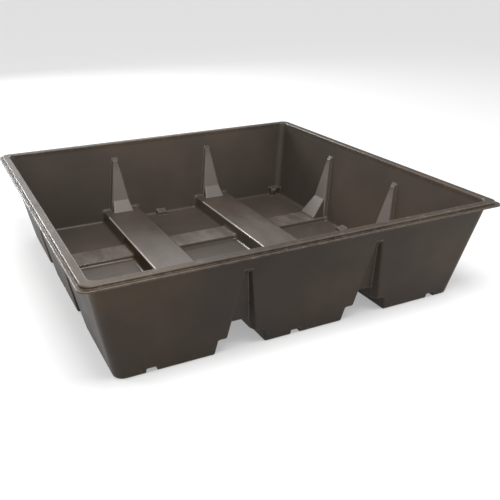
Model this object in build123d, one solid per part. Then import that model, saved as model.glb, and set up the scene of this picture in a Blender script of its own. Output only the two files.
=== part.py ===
from build123d import *
import math
import os

os.makedirs("parts", exist_ok=True)

# Spill containment pallet: one thin-wall polyethylene sump tub that nests,
# with a small screwed drain in one corner.
# Origin at the middle of the footprint, on the floor. +Z up, the front faces -Y.

# ---------------------------------------------------------------- tub, mm
side = 1308.0            # over the rim lip, both ways
height = 327.0
wall = 6.0
base_half = 567.0        # half width of the outer walls at the floor
outer_draft = 0.1944     # outward run per mm of height
inner_top_half = 619.0   # half width of the cavity at the rim
floor_thickness = 6.0
outer_corner = 32.0
inner_corner = 24.0

# rim: a low lip round the outside, a raised flat band inside it
lip_bottom, lip_top, lip_corner = 313.0, 319.0, 24.0
band_inset, band_corner = 10.0, 28.0

# fork tunnels (along Y, placed in X) and cross channels (along X, placed in Y)
tunnel_places = (-202.0, 220.0)
channel_places = (-206.0, 205.0)
tunnel_half, tunnel_roof, tunnel_taper = 78.0, 47.0, 0.17
channel_half, channel_roof, channel_taper = 54.5, 16.0, 0.19

# tapered grooves in the walls over every opening (ribs on the inside)
groove_half, groove_taper = 54.8, 0.165        # half width at the wall, at z = 0
groove_side_run = 0.5                          # narrowing per mm of depth
groove_depth, groove_depth_run = 27.0, 0.05    # depth at z = 0, loss per mm of height
groove_top = 269.0                             # where the sloped top meets the wall
fork_groove_start = 37.0

# lead-in ramps under the grooves: (distance out, height) of foot and head
lead_half, lead_taper = 47.0, 0.2
fork_lead_back = ((530.0, 47.0), (563.5, 94.0))
fork_lead_front = ((478.0, 47.0), (566.0, 92.0))
cross_lead = ((499.0, 16.0), (563.0, 94.0))

# small notches in the bottom edge of the feet, and the pads that close them inside
notch_half, notch_height, notch_depth = 17.0, 16.0, 25.0
notch_side_draft, notch_end_draft = 0.06, 0.1
pad_rise, pad_slope = 4.0, 0.25
front_notches = (-467.0, -22.0, 485.0)
back_notch, side_notch = -26.0, 22.0

# drain recess in the back wall, beside the right-hand corner
recess_left, recess_face, recess_top = 521.0, 553.0, 35.0
recess_draft = 0.03
boss_thickness = 12.0
drain_x, drain_z = 542.0, 20.0

# roundings of the outer skin, of the cavity and of the rim
outer_upright_round, foot_round, groove_round, outer_tool_round = 8.0, 6.0, 6.0, 4.0
inner_upright_round, floor_round, inner_tool_round = 14.0, 12.0, 8.0
detail_share = 0.75                            # grooves, ramps and channels are rounded this much tighter
notch_round, pad_round = 3.0, 4.8
lip_round, band_round, mouth_round = 2.4, 3.5, 4.5
corner_zone = 450.0                            # past this in both X and Y lies a corner of the tub

# ---------------------------------------------------------------- drain, mm
insert_flange_radius, insert_flange = 13.0, 3.0
insert_body_radius, insert_length = 11.0, 9.0
mouth_radius = 7.0                             # hole through the rest of the boss
bore_radius = 8.3
seat_radius, seat_depth = 11.0, 2.5            # counterbore for the sealing ring
ring_major, ring_minor, ring_gap = 9.0, 1.22, 0.03
plug_neck_radius, plug_root_radius, plug_thread_radius = 7.7, 7.2, 8.1
plug_length, plug_neck_past_seat = 11.5, 1.0
plug_tip_taper, plug_tip_length = 0.6, 1.2
thread_pitch = 1.41
head_gap = 0.05
plug_head_radius, plug_flange = 12.0, 2.5
plug_hex, plug_hex_height = 13.0, 6.0
flange_chamfer, head_round, hex_chamfer = 0.5, 0.6, 0.8

# ---------------------------------------------------------------- working space, mm
REACH = 1500.0                                 # wider than the whole tub
BELOW, ABOVE = -20.0, 420.0                    # heights clear of the floor and of the rim
CLEAR = 10.0                                   # how far a cutting tool runs past what it cuts
NEAR = 0.05                                    # two faces closer than this are the same face


def bounded(planes, grow=0.0, low=BELOW, high=ABOVE):
    """Convex solid inside every (point, outward normal) plane, each moved out by grow."""
    body = Pos(0, 0, (low + high) / 2) * Box(REACH, REACH, high - low)
    for point, normal in planes:
        out = Vector(*normal).normalized()
        body = split(body, bisect_by=Plane(Vector(*point) + out * grow, z_dir=out), keep=Keep.BOTTOM)
    return body


def rounded(body, radius, wanted):
    """Round the straight edges picked by wanted(edge)."""
    edges = [edge for edge in body.edges() if wanted(edge)]
    return fillet(edges, radius) if edges else body


def lies_at(level):
    """Test for an edge that runs level at one height."""
    return lambda edge: edge.bounding_box().size.Z < NEAR and abs(edge.center().Z - level) < NEAR


def steepness(edge):
    return abs(edge.tangent_at(0.5).Z)


def near_corner(point):
    return abs(point.X) > corner_zone and abs(point.Y) > corner_zone


def beyond(body, start):
    """Keep the part of a tool that lies past y = start."""
    return split(body, bisect_by=Plane((0, start, 0), z_dir=(0, -1, 0)), keep=Keep.BOTTOM)


# ---------------------------------------------------------------- shapes that push in from outside
def frustum(half, draft, corner, low, high):
    """Four walls leaning outward, upright corners rounded."""
    directions = ((1, 0), (-1, 0), (0, 1), (0, -1))
    planes = [((x * half, y * half, 0), (x, y, -draft)) for x, y in directions]
    return rounded(bounded(planes, low=low, high=high), corner, lambda edge: steepness(edge) > 0.5)


def passage(half, roof, taper, grow, radius):
    """Open-bottomed run along Y with leaning sides."""
    planes = [((sign * half, 0, 0), (sign, 0, taper)) for sign in (1, -1)]
    planes.append(((0, 0, roof), (0, 0, 1)))

    def upper_edge(edge):
        return abs(edge.tangent_at(0.5).Y) > 0.999 and edge.center().Z > roof - 1

    return rounded(bounded(planes, grow), radius, upper_edge)


def groove_sides():
    """The two leaning sides of a wall groove."""
    sides = []
    for sign in (1, -1):
        # one side plane holds the wall edge line and runs inward at groove_side_run
        wall_edge = Vector(-sign * groove_taper, outer_draft, 1)
        inward = Vector(-sign * groove_side_run, -1, 0)
        normal = wall_edge.cross(inward) * sign
        sides.append(((sign * groove_half, base_half, 0), tuple(normal)))
    return sides


def groove(start, grow, radius):
    """Tapered groove in the +Y wall, from z = start up to its sloped top."""
    planes = groove_sides()
    planes.append(((0, base_half - groove_depth, 0), (0, -1, outer_draft + groove_depth_run)))
    planes.append(((0, base_half + outer_draft * groove_top, groove_top), (0, -1, 1)))

    def inner_edge(edge):
        middle = edge.center()
        return middle.Y < base_half + outer_draft * middle.Z and middle.Z > start + 1

    return rounded(beyond(bounded(planes, grow, low=start), 400), radius, inner_edge)


def lead_in(ramp, grow, radius):
    """Sloped roof that opens a passage upward and outward at the +Y wall."""
    (foot_out, foot_height), (head_out, head_height) = ramp
    rise, run = head_height - foot_height, head_out - foot_out
    planes = [((sign * lead_half, 0, 0), (sign, 0, lead_taper)) for sign in (1, -1)]
    planes.append(((0, foot_out, foot_height), (0, -rise, run)))
    planes.append(((0, 0, head_height), (0, 0, 1)))

    def ramp_side(edge):
        tangent = edge.tangent_at(0.5)
        return abs(tangent.Y) < 0.95 and abs(tangent.X) < 0.5 and edge.center().Y < 600

    return rounded(beyond(bounded(planes, grow), 300), radius, ramp_side)


def notch(grow):
    """Notch in the foot of the +Y wall; grown, it is the sloped pad inside."""
    rise, slope, radius = (pad_rise, pad_slope, pad_round) if grow else (0, 0, notch_round)
    planes = [((sign * notch_half, 0, 0), (sign, 0, notch_side_draft)) for sign in (1, -1)]
    planes.append(((0, base_half - notch_depth, 0), (0, -1, notch_end_draft)))
    planes.append(((0, base_half, notch_height + rise), (0, -slope, 1)))

    def inner_edge(edge):
        middle = edge.center()
        return middle.Z > 0 and 400 < middle.Y < 650

    return rounded(bounded(planes, grow), radius, inner_edge)


def recess(grow):
    """Square pocket for the drain, open to the back, the right and the floor."""
    planes = [((recess_left, 0, 0), (-1, 0, recess_draft)), ((0, 0, recess_top), (0, 0, 1))]
    return beyond(bounded(planes, grow), recess_face - (boss_thickness if grow else 0))


def hollows(grow, radius):
    """Everything that pushes in from outside; grown by the wall it gives the inner face."""
    fine = radius * detail_share
    tunnel = passage(tunnel_half, tunnel_roof, tunnel_taper, grow, radius)
    channel = Rot(0, 0, 90) * passage(channel_half, channel_roof, channel_taper, grow, fine)
    runs = [Pos(place, 0, 0) * tunnel for place in tunnel_places]
    runs += [Pos(0, place, 0) * channel for place in channel_places]

    details = []
    for turn, ramp in ((0, fork_lead_back), (180, fork_lead_front)):
        for place in tunnel_places:
            spot = Pos(place, 0, 0) * Rot(0, 0, turn)
            details += [spot * groove(fork_groove_start, grow, fine), spot * lead_in(ramp, grow, fine)]
    for turn in (90, -90):
        for place in channel_places:
            spot = Pos(0, place, 0) * Rot(0, 0, turn)
            details += [spot * groove(BELOW, grow, fine), spot * lead_in(cross_lead, grow, fine)]
    details += [Pos(place, 0, 0) * Rot(0, 0, 180) * notch(grow) for place in front_notches]
    details.append(Pos(back_notch, 0, 0) * notch(grow))
    details += [Pos(0, side_notch, 0) * Rot(0, 0, turn) * notch(grow) for turn in (90, -90)]
    details.append(recess(grow))
    return runs, details


# ---------------------------------------------------------------- tub
def passage_upright(edge):
    """Upright edge where a passage breaks through a wall."""
    return steepness(edge) > 0.85 and not near_corner(edge.center())


def groove_edge(edge):
    """Long edge where a groove's side meets the outer face of a wall."""
    middle = edge.position_at(0.5)
    wall_at = base_half + outer_draft * middle.Z
    on_wall = abs(max(abs(middle.X), abs(middle.Y)) - wall_at) < NEAR
    return on_wall and 100 < middle.Z < 300 and steepness(edge) > 0.8 and not near_corner(middle)


def mouth_edge(edge):
    middle = edge.center()
    return lies_at(height)(edge) and max(abs(middle.X), abs(middle.Y)) < inner_top_half + 3


def make_outer():
    runs, details = hollows(0.0, outer_tool_round)
    outer = frustum(base_half, outer_draft, outer_corner, 0.0, lip_top)
    for tool in runs:
        outer = outer - tool
    outer = rounded(outer, outer_upright_round, passage_upright)
    outer = rounded(outer, foot_round, lies_at(0.0))
    for tool in details:
        outer = outer - tool
    return rounded(outer, groove_round, groove_edge)


def make_cavity():
    runs, details = hollows(wall, inner_tool_round)
    inner_half = base_half - wall * math.hypot(1, outer_draft)
    inner_draft = (inner_top_half - inner_half) / height
    cavity = frustum(inner_half, inner_draft, inner_corner, floor_thickness, height + CLEAR)
    for tool in runs:
        cavity = cavity - tool
    cavity = rounded(cavity, inner_upright_round, passage_upright)
    cavity = rounded(cavity, floor_round, lies_at(floor_thickness))
    for tool in details:
        cavity = cavity - tool
    return cavity


def slab(width, corner, low, high):
    return Pos(0, 0, low) * extrude(RectangleRounded(width, width, corner), high - low)


def make_tub():
    lip = slab(side, lip_corner, lip_bottom, lip_top)
    lip = rounded(lip, lip_round, lambda edge: edge.bounding_box().size.Z < NEAR)
    band = slab(side - 2 * band_inset, band_corner, lip_bottom + 1, height)
    band = rounded(band, band_round, lies_at(height))
    tub = (make_outer() + lip + band) - make_cavity()
    tub = rounded(tub, mouth_round, mouth_edge)
    tub = tub - drain_frame * cylinder(insert_body_radius, -insert_length, insert_length)
    return tub - drain_frame * cylinder(mouth_radius, -boss_thickness - CLEAR, 0)


# ---------------------------------------------------------------- drain
drain_frame = Plane(origin=(drain_x, recess_face, drain_z), x_dir=(1, 0, 0), z_dir=(0, 1, 0)).location
seat_face = insert_flange - seat_depth


def cylinder(radius, low, high):
    """Round bar along the drain axis; distances count outward from the recess face."""
    return Pos(0, 0, (low + high) / 2) * Cylinder(radius, high - low)


def outermost_edges(body):
    return body.faces().sort_by(Axis.Z)[-1].edges()


def make_insert():
    body = cylinder(insert_body_radius, -insert_length, 0) + cylinder(insert_flange_radius, 0, insert_flange)
    body = chamfer(outermost_edges(body), flange_chamfer)
    body = body - cylinder(bore_radius, -boss_thickness - CLEAR, insert_flange + CLEAR)
    return body - cylinder(seat_radius, seat_face, insert_flange + CLEAR)


def make_ring():
    return Pos(0, 0, seat_face + ring_minor + ring_gap) * Torus(ring_major, ring_minor)


def make_plug():
    """Hex-headed plug; its thread is drawn as plain rings at the right pitch."""
    under = insert_flange + head_gap
    level = under - seat_depth - plug_neck_past_seat
    points = [(0, under), (plug_neck_radius, under), (plug_neck_radius, level)]
    while level - thread_pitch > under - plug_length:
        points.append((plug_thread_radius, level - thread_pitch / 2))
        level -= thread_pitch
        points.append((plug_root_radius, level))
    tip = level - plug_tip_length
    points += [(plug_root_radius - plug_tip_taper, tip), (0, tip)]
    shank = revolve(Plane.XZ * make_face(Polyline(*points, close=True)), Axis.Z)

    flange = fillet(cylinder(plug_head_radius, under, under + plug_flange).edges(), head_round)
    hexagon = RegularPolygon(plug_hex / 2, 6, major_radius=False)
    head = extrude(Pos(0, 0, under + plug_flange) * hexagon, plug_hex_height)
    return shank + flange + chamfer(outermost_edges(head), hex_chamfer)


nodes = {
    "sump_tub": make_tub(),
    "drain_insert": drain_frame * make_insert(),
    "drain_o_ring": drain_frame * make_ring(),
    "drain_plug": drain_frame * make_plug(),
}
for name, shape in nodes.items():
    export_step(shape, f"parts/{name}.step")
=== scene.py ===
import math

import bpy
from mathutils import Matrix, Vector

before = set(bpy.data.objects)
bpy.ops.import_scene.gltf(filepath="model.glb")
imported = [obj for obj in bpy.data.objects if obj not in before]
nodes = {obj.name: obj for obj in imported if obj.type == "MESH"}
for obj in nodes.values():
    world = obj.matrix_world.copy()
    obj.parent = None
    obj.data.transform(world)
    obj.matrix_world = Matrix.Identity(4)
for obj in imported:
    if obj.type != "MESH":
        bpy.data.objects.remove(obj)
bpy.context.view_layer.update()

# heights and widths of the tub that the wear follows, metres
FLOOR_TOP, RIDGE_TOP, RIM_TOP = 0.006, 0.053, 0.327
WALL_INSIDE, WALL_LEAN = 0.561, 0.178

# outer skin; inner skin, lighter as painted light on the inside walls; rubbed plastic, also a painted
# highlight on the ribs; dust; worn edges, also a painted highlight on the rim and ridge edges
TUB_DARK, TUB_MEAN, TUB_WARM = (0.018, 0.0112, 0.007), (0.027, 0.0168, 0.0094), (0.043, 0.027, 0.0142)
INNER_LIT_DARK, INNER_LIT_MEAN, INNER_LIT_WARM = (0.044, 0.035, 0.029), (0.055, 0.044, 0.036), (0.068, 0.052, 0.040)
TUB_SCUFF_AND_HIGHLIGHT, TUB_DUST, TUB_EDGE_WEAR_AND_HIGHLIGHT = (0.21, 0.185, 0.17), (0.12, 0.10, 0.08), (0.40, 0.36, 0.32)
CLOUD_STOPS = (0.32, 0.52, 0.68)               # where the dark, mean and warm colours stand
WHITE = (1.0, 1.0, 1.0, 1.0)

# how strongly each mask shows
# on the ribs and their ramps the rubbed colour is partly a painted highlight
WEAR_AND_HIGHLIGHT = {"ridge": 0.24, "cross": 0.52, "rib_rub_and_highlight": 0.50, "rim": 0.30, "foot": 0.20}
# arris: a painted highlight on the ridges' left-facing top edges; lip: worn rim edges, partly a painted
# highlight
EDGE_WEAR_AND_HIGHLIGHT = {"arris_highlight": 0.70, "lip": 0.12}
CREASE_WEAR, DUST_WEAR = 0.25, 0.22

# roughness of the tub, and what inner skin, ridge tops and polished edges add to it
ROUGH_LOW, ROUGH_SMUDGE = 0.42, 0.12
ROUGH_INSIDE, ROUGH_RIDGE, ROUGH_POLISH = -0.10, 0.10, -0.24

# shading of sharp edges: radius in metres, samples, and the agreement of normals that counts as an edge
BEVEL_RADIUS, BEVEL_SAMPLES, CREASE = 0.004, 4, (0.995, 0.95)

# fades, each from 0 to 1 between two values: how far a surface faces up (1 is level)
LEVEL = (0.86, 0.96)
EDGE_FROM, EDGE_UNTIL = (0.30, 0.45), (0.985, 0.95)
# ARRIS_* and FACES_LEFT place the painted highlight on the ridges' left-facing top edges
ARRIS_FROM, ARRIS_UNTIL = (0.45, 0.65), (0.97, 0.90)
LIP_FROM, LIP_UNTIL = (0.10, 0.30), (0.999, 0.98)
FACES_LEFT = (-0.05, -0.25)
FACES_IN, RIB_FACES_IN = (-0.05, 0.05), (-0.12, -0.35)
# the same, by distance in from the wall, metres
RIB_PROUD, RIB_NOSE, OFF_RAMP = (0.007, 0.014), (0.080, 0.070), (0.070, 0.080)
# the same, by height or place, metres
RIB_FOOT, RIB_HEAD, FOOT_LOW = (0.026, 0.032), (0.29, 0.26), (0.030, 0.002)
RIM_START, RIM_FULL = RIM_TOP - 0.020, RIM_TOP - 0.012
CROSS_LOW, CROSS_HIGH = FLOOR_TOP + 0.006, FLOOR_TOP + 0.012
RIDGE_LOW, RIDGE_FULL = RIDGE_TOP - 0.020, RIDGE_TOP - 0.010
RIDGE_END, RIDGE_LAST = RIDGE_TOP + 0.020, RIDGE_TOP + 0.010
# height band of the painted highlight on the ridge edges
ARRIS_LOW = (RIDGE_TOP - 0.009, RIDGE_TOP - 0.007)
ARRIS_HIGH = (RIDGE_TOP + 0.003, RIDGE_TOP + 0.001)
RIDGE_FRONT = (0.46, 0.20)                     # rubbed most toward the front


# ---------------------------------------------------------------- materials
def new_material(name, color, roughness, specular=0.5, metallic=0.0):
    """A Principled material with its even values set on the shader's own sockets."""
    material = bpy.data.materials.new(name)
    material.use_nodes = True
    shader = material.node_tree.nodes["Principled BSDF"]
    shader.inputs["Base Color"].default_value = (*color, 1.0)
    shader.inputs["Roughness"].default_value = roughness
    shader.inputs["Specular IOR Level"].default_value = specular
    shader.inputs["Metallic"].default_value = metallic
    return material, material.node_tree, shader


def noise(tree, scale, detail=3.0, roughness=0.55, stretch=(1, 1, 1)):
    """Noise in object space; returns the factor socket."""
    place = tree.nodes.new("ShaderNodeTexCoord")
    mapping = tree.nodes.new("ShaderNodeMapping")
    mapping.inputs["Scale"].default_value = stretch
    node = tree.nodes.new("ShaderNodeTexNoise")
    node.inputs["Scale"].default_value = scale
    node.inputs["Detail"].default_value = detail
    node.inputs["Roughness"].default_value = roughness
    tree.links.new(place.outputs["Object"], mapping.inputs["Vector"])
    tree.links.new(mapping.outputs["Vector"], node.inputs["Vector"])
    return node.outputs["Fac"]


def math_node(tree, operation, *values):
    node = tree.nodes.new("ShaderNodeMath")
    node.operation = operation
    for socket, value in zip(node.inputs, values):
        if isinstance(value, (int, float)):
            socket.default_value = value
        else:
            tree.links.new(value, socket)
    return node.outputs[0]


def step(tree, value, low, high):
    """0 below low, 1 above high, smooth between; low may be above high for the reverse."""
    node = tree.nodes.new("ShaderNodeMapRange")
    node.interpolation_type = "SMOOTHSTEP"
    node.inputs["From Min"].default_value = low
    node.inputs["From Max"].default_value = high
    tree.links.new(value, node.inputs["Value"])
    return node.outputs["Result"]


def product(tree, *factors):
    result = factors[0]
    for factor in factors[1:]:
        result = math_node(tree, "MULTIPLY", result, factor)
    return result


def ramp(tree, factor, stops):
    """Colour ramp through (position, colour) stops; returns the colour socket."""
    node = tree.nodes.new("ShaderNodeValToRGB")
    points = node.color_ramp.elements
    while len(points) < len(stops):
        points.new(0.5)
    for point, (position, color) in zip(points, stops):
        point.position = position
        point.color = (*color, 1.0)
    tree.links.new(factor, node.inputs["Fac"])
    return node.outputs["Color"]


def blended(tree, factor, first, second):
    """Colour mix; first and second are sockets or colours."""
    node = tree.nodes.new("ShaderNodeMix")
    node.data_type = "RGBA"
    tree.links.new(factor, node.inputs["Factor"])
    colour_inputs = [socket for socket in node.inputs if socket.type == "RGBA"]
    for socket, value in zip(colour_inputs, (first, second)):
        if isinstance(value, tuple):
            socket.default_value = (*value, 1.0)
        else:
            tree.links.new(value, socket)
    return next(socket for socket in node.outputs if socket.type == "RGBA")


def bump(tree, height, strength, distance, under=None):
    node = tree.nodes.new("ShaderNodeBump")
    node.inputs["Strength"].default_value = strength
    node.inputs["Distance"].default_value = distance
    tree.links.new(height, node.inputs["Height"])
    if under:
        tree.links.new(under, node.inputs["Normal"])
    return node.outputs["Normal"]


def vector_parts(tree, vector):
    split = tree.nodes.new("ShaderNodeSeparateXYZ")
    tree.links.new(vector, split.inputs["Vector"])
    return split.outputs["X"], split.outputs["Y"], split.outputs["Z"]


def softened_normal(tree):
    """Normal with sharp edges rounded off, and a mask of where that happens."""
    soft = tree.nodes.new("ShaderNodeBevel")
    soft.samples = BEVEL_SAMPLES
    soft.inputs["Radius"].default_value = BEVEL_RADIUS
    plain = tree.nodes.new("ShaderNodeNewGeometry")
    dot = tree.nodes.new("ShaderNodeVectorMath")
    dot.operation = "DOT_PRODUCT"
    tree.links.new(soft.outputs["Normal"], dot.inputs[0])
    tree.links.new(plain.outputs["Normal"], dot.inputs[1])
    return soft.outputs["Normal"], step(tree, dot.outputs["Value"], *CREASE)


def tub_masks(tree):
    """Where the tub is rubbed, handled, dusty or polished, and where highlights are painted on; every
    mask runs from 0 to 1.
    """
    place = tree.nodes.new("ShaderNodeTexCoord")
    x, y, z = vector_parts(tree, place.outputs["Object"])
    across, along, up = vector_parts(tree, place.outputs["Normal"])
    level = step(tree, up, *LEVEL)

    # how far a surface stands in from the nearest wall, and how far it faces out through it
    wide, deep = math_node(tree, "ABSOLUTE", x), math_node(tree, "ABSOLUTE", y)
    wall_at = math_node(tree, "MULTIPLY_ADD", z, WALL_LEAN, WALL_INSIDE)
    proud = math_node(tree, "SUBTRACT", wall_at, math_node(tree, "MAXIMUM", wide, deep))
    by_side = math_node(tree, "GREATER_THAN", wide, deep)
    out_x = product(tree, by_side, math_node(tree, "SIGN", x), across)
    out_y = product(tree, math_node(tree, "SUBTRACT", 1.0, by_side), math_node(tree, "SIGN", y), along)
    outward = math_node(tree, "ADD", out_x, out_y)
    inner = math_node(tree, "MULTIPLY_ADD", outward, -2.0, up)
    inside = product(tree, step(tree, inner, *FACES_IN), step(tree, z, RIM_FULL, RIM_START))

    scuff = step(tree, noise(tree, 14.0, 6.0, 0.7, (1.0, 0.35, 1.0)), 0.25, 0.75)
    scuffed = product(tree, level, inside, scuff)
    cross = product(tree, scuffed, step(tree, z, CROSS_LOW, CROSS_HIGH),
                    step(tree, z, RIDGE_FULL, RIDGE_LOW))
    ridge = product(tree, scuffed, step(tree, z, RIDGE_LOW, RIDGE_FULL),
                    step(tree, z, RIDGE_END, RIDGE_LAST), step(tree, y, *RIDGE_FRONT))
    # rib faces and ramps: rubbing, partly a painted highlight
    rib_rub_and_highlight = product(tree, inside, step(tree, outward, *RIB_FACES_IN), step(tree, proud, *RIB_PROUD),
                  step(tree, proud, *RIB_NOSE), step(tree, z, *RIB_FOOT), step(tree, z, *RIB_HEAD))
    edge = product(tree, inside, step(tree, up, *EDGE_FROM), step(tree, up, *EDGE_UNTIL),
                   step(tree, proud, *OFF_RAMP))
    # arris: a painted highlight on the left-facing top edges of the ridges
    arris_highlight = product(tree, step(tree, up, *ARRIS_FROM), step(tree, up, *ARRIS_UNTIL),
                    step(tree, across, *FACES_LEFT), step(tree, proud, *OFF_RAMP),
                    step(tree, z, *ARRIS_LOW), step(tree, z, *ARRIS_HIGH))
    speckle = step(tree, noise(tree, 60.0, 6.0, 0.75), 0.52, 0.70)
    at_rim = step(tree, z, RIM_START, RIM_FULL)
    rim = product(tree, speckle, at_rim)
    # lip: rounded rim edges; in colour worn and partly a painted highlight, in roughness polished
    lip = product(tree, at_rim, step(tree, up, *LIP_FROM), step(tree, up, *LIP_UNTIL))
    foot = product(tree, speckle, step(tree, z, *FOOT_LOW), math_node(tree, "SUBTRACT", 1.0, inside))
    return {"ridge": ridge, "cross": cross, "rib_rub_and_highlight": rib_rub_and_highlight, "edge": edge, "arris_highlight": arris_highlight, "rim": rim,
            "lip": lip, "inside": inside, "foot": foot, "level": level}


def tub_plastic():
    """Black polyethylene sheet with a satin skin: warm mottling, draw lines, scuffs and dust; a lighter
    inner skin that is painted light, and painted highlights on the ribs, rim edges and ridge edges.
    """
    material, tree, shader = new_material("tub_plastic", TUB_MEAN, 0.36, 0.25)
    mask = tub_masks(tree)
    soft_normal, crease = softened_normal(tree)

    cloud = noise(tree, 2.6, 4.0, 0.5)
    outer = ramp(tree, cloud, list(zip(CLOUD_STOPS, (TUB_DARK, TUB_MEAN, TUB_WARM))))
    # the inner skin is lighter as painted light: a lit copy of the same plastic, blended in inside the
    # tub
    inner = ramp(tree, cloud, list(zip(CLOUD_STOPS, (INNER_LIT_DARK, INNER_LIT_MEAN, INNER_LIT_WARM))))
    color = blended(tree, mask["inside"], outer, inner)
    fleck = step(tree, noise(tree, 240.0, 5.0, 0.8), 0.60, 0.78)
    color = blended(tree, math_node(tree, "MULTIPLY", fleck, DUST_WEAR), color, TUB_DUST)
    # rubbed plastic; on the ribs and ramps partly a painted highlight
    for name, amount in WEAR_AND_HIGHLIGHT.items():
        color = blended(tree, math_node(tree, "MULTIPLY", mask[name], amount), color, TUB_SCUFF_AND_HIGHLIGHT)
    nicks = step(tree, noise(tree, 45.0, 5.0, 0.7), 0.30, 0.55)
    worn_and_highlight = product(tree, crease, nicks, CREASE_WEAR)
    # the arris and lip masks add painted highlights to the edge wear
    for name, amount in EDGE_WEAR_AND_HIGHLIGHT.items():
        worn_and_highlight = math_node(tree, "MAXIMUM", worn_and_highlight, math_node(tree, "MULTIPLY", mask[name], amount))
    color = blended(tree, worn_and_highlight, color, TUB_EDGE_WEAR_AND_HIGHLIGHT)
    tree.links.new(color, shader.inputs["Base Color"])

    smudge = step(tree, noise(tree, 6.0, 6.0, 0.65), 0.30, 0.72)
    rough = math_node(tree, "MULTIPLY_ADD", smudge, ROUGH_SMUDGE, ROUGH_LOW)
    rough = math_node(tree, "MULTIPLY_ADD", mask["inside"], ROUGH_INSIDE, rough)
    rough = math_node(tree, "MULTIPLY_ADD", mask["ridge"], ROUGH_RIDGE, rough)
    polish = math_node(tree, "MAXIMUM", math_node(tree, "MAXIMUM", mask["edge"], mask["lip"]), crease)
    rough = math_node(tree, "MULTIPLY_ADD", polish, ROUGH_POLISH, rough)
    tree.links.new(rough, shader.inputs["Roughness"])

    warp = bump(tree, noise(tree, 7.0, 2.0, 0.4), 0.30, 0.0015, soft_normal)
    upright = math_node(tree, "SUBTRACT", 1.0, mask["level"])
    lines = product(tree, upright, noise(tree, 60.0, 3.0, 0.5, (1.0, 1.0, 0.06)))
    draw = bump(tree, lines, 0.16, 0.0006, warp)
    grain = bump(tree, noise(tree, 700.0, 2.0), 0.22, 0.0002, draw)
    tree.links.new(grain, shader.inputs["Normal"])
    return material


def plug_plastic():
    """Moulded black plug, dull, with mottled colour and roughness and a fine grain."""
    material, tree, shader = new_material("plug_plastic", (0.035, 0.031, 0.028), 0.45)
    color = ramp(tree, noise(tree, 90.0, 4.0),
                 [(0.35, (0.028, 0.025, 0.022)), (0.70, (0.052, 0.046, 0.041))])
    tree.links.new(color, shader.inputs["Base Color"])
    rough = step(tree, noise(tree, 120.0), 0.2, 0.8)
    tree.links.new(math_node(tree, "MULTIPLY_ADD", rough, 0.2, 0.36), shader.inputs["Roughness"])
    tree.links.new(bump(tree, noise(tree, 2500.0, 2.0), 0.2, 0.0001), shader.inputs["Normal"])
    return material


def insert_brass():
    """Turned brass, slightly tarnished."""
    material, tree, shader = new_material("insert_brass", (0.72, 0.52, 0.24), 0.32, 0.5, 1.0)
    tarnish = ramp(tree, noise(tree, 130.0, 5.0),
                   [(0.35, (0.74, 0.54, 0.25)), (0.75, (0.46, 0.31, 0.14))])
    tree.links.new(tarnish, shader.inputs["Base Color"])
    rough = step(tree, noise(tree, 300.0), 0.2, 0.8)
    tree.links.new(math_node(tree, "MULTIPLY_ADD", rough, 0.22, 0.24), shader.inputs["Roughness"])
    lines = noise(tree, 1600.0, 2.0, 0.5, (0.15, 1.0, 0.15))
    tree.links.new(bump(tree, lines, 0.15, 0.00005), shader.inputs["Normal"])
    return material


def seal_rubber():
    """Matte black rubber with a fine bloom."""
    material, tree, shader = new_material("seal_rubber", (0.02, 0.02, 0.02), 0.7, 0.35)
    color = ramp(tree, noise(tree, 400.0, 3.0),
                 [(0.4, (0.016, 0.016, 0.016)), (0.75, (0.040, 0.039, 0.038))])
    tree.links.new(color, shader.inputs["Base Color"])
    tree.links.new(bump(tree, noise(tree, 3000.0, 2.0), 0.2, 0.0001), shader.inputs["Normal"])
    return material


def dress(name, material):
    piece = nodes[name]
    piece.data.materials.clear()
    piece.data.materials.append(material)


dress("sump_tub", tub_plastic())
dress("drain_insert", insert_brass())
dress("drain_o_ring", seal_rubber())
dress("drain_plug", plug_plastic())


# ---------------------------------------------------------------- stage
FLOOR_SIZE, FLOOR_HEIGHT, FLOOR_GLOW = 60.0, -0.0005, 0.35
FLOOR_COLOR = (0.55, 0.55, 0.55)


def white_floor():
    """Plain pale floor just under the feet, with a faint glow of its own."""
    bpy.ops.mesh.primitive_plane_add(size=FLOOR_SIZE, location=(0, 0, FLOOR_HEIGHT))
    floor = bpy.context.object
    floor.name = "floor"
    material, _, shader = new_material("floor_white", FLOOR_COLOR, 0.9, 0.1)
    shader.inputs["Emission Color"].default_value = WHITE
    shader.inputs["Emission Strength"].default_value = FLOOR_GLOW
    floor.data.materials.append(material)


white_floor()


# ---------------------------------------------------------------- light
def sky(strength):
    world = bpy.data.worlds.new("studio")
    bpy.context.scene.world = world
    world.use_nodes = True
    background = world.node_tree.nodes["Background"]
    background.inputs["Color"].default_value = WHITE
    background.inputs["Strength"].default_value = strength


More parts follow.
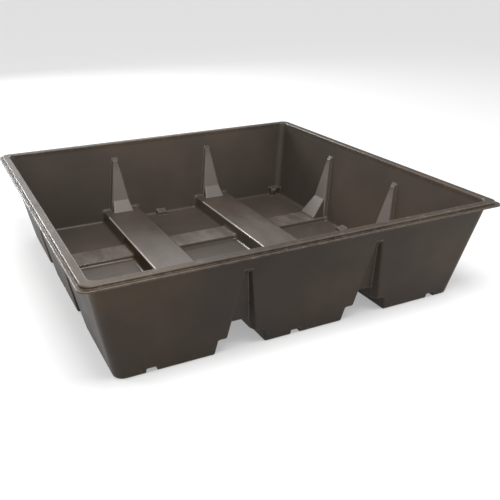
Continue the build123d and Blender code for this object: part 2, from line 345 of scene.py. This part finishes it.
def softbox(name, place, target, width, height, power):
    """Rectangular area light at place, aimed at target; metres and watts."""
    light = bpy.data.lights.new(name, "AREA")
    light.shape = "RECTANGLE"
    light.size, light.size_y = width, height
    light.energy = power
    lamp = bpy.data.objects.new(name, light)
    bpy.context.scene.collection.objects.link(lamp)
    aim = Vector(target) - Vector(place)
    turn = aim.to_track_quat("-Z", "Y").to_matrix().to_4x4()
    lamp.matrix_world = Matrix.Translation(Vector(place)) @ turn


sky(0.70)
softbox("behind", (0.7, 4.2, 2.3), (0, 0, 0.3), 2.4, 1.5, 42.0)
softbox("behind_left", (-1.15, 4.0, 2.1), (0, 0, 0.1), 0.7, 1.3, 80.0)
softbox("above_front", (-0.3, -1.3, 3.2), (0, 0.2, 0.1), 1.8, 1.2, 108.0)
softbox("above_left", (-2.1, 0.0, 2.8), (-0.3, -0.3, 0.3), 0.4, 0.4, 12.0)
bpy.context.scene.view_settings.view_transform = "Standard"


# ---------------------------------------------------------------- camera
CAMERA_PLACE = Vector((-0.896, -1.952, 0.983))
CAMERA_TURN = math.radians(25.26)      # to the right of +Y
CAMERA_DROP = math.radians(24.09)      # below the horizon
CAMERA_ROLL = math.radians(-0.74)
LENS, SENSOR = 46.0, 36.0              # mm
SHIFT_X, SHIFT_Y = 0.0469, 0.0094      # share of the frame's width


def photo_camera():
    data = bpy.data.cameras.new("camera")
    data.lens, data.sensor_width = LENS, SENSOR
    data.shift_x, data.shift_y = SHIFT_X, SHIFT_Y
    camera = bpy.data.objects.new("camera", data)
    bpy.context.scene.collection.objects.link(camera)
    bpy.context.scene.camera = camera
    ahead = Vector((math.sin(CAMERA_TURN) * math.cos(CAMERA_DROP),
                    math.cos(CAMERA_TURN) * math.cos(CAMERA_DROP), -math.sin(CAMERA_DROP)))
    level = Vector((math.cos(CAMERA_TURN), -math.sin(CAMERA_TURN), 0))
    above = level.cross(ahead)
    right = level * math.cos(CAMERA_ROLL) + above * math.sin(CAMERA_ROLL)
    up = above * math.cos(CAMERA_ROLL) - level * math.sin(CAMERA_ROLL)
    turn = Matrix((right, up, -ahead)).transposed()
    camera.matrix_world = Matrix.Translation(CAMERA_PLACE) @ turn.to_4x4()


photo_camera()
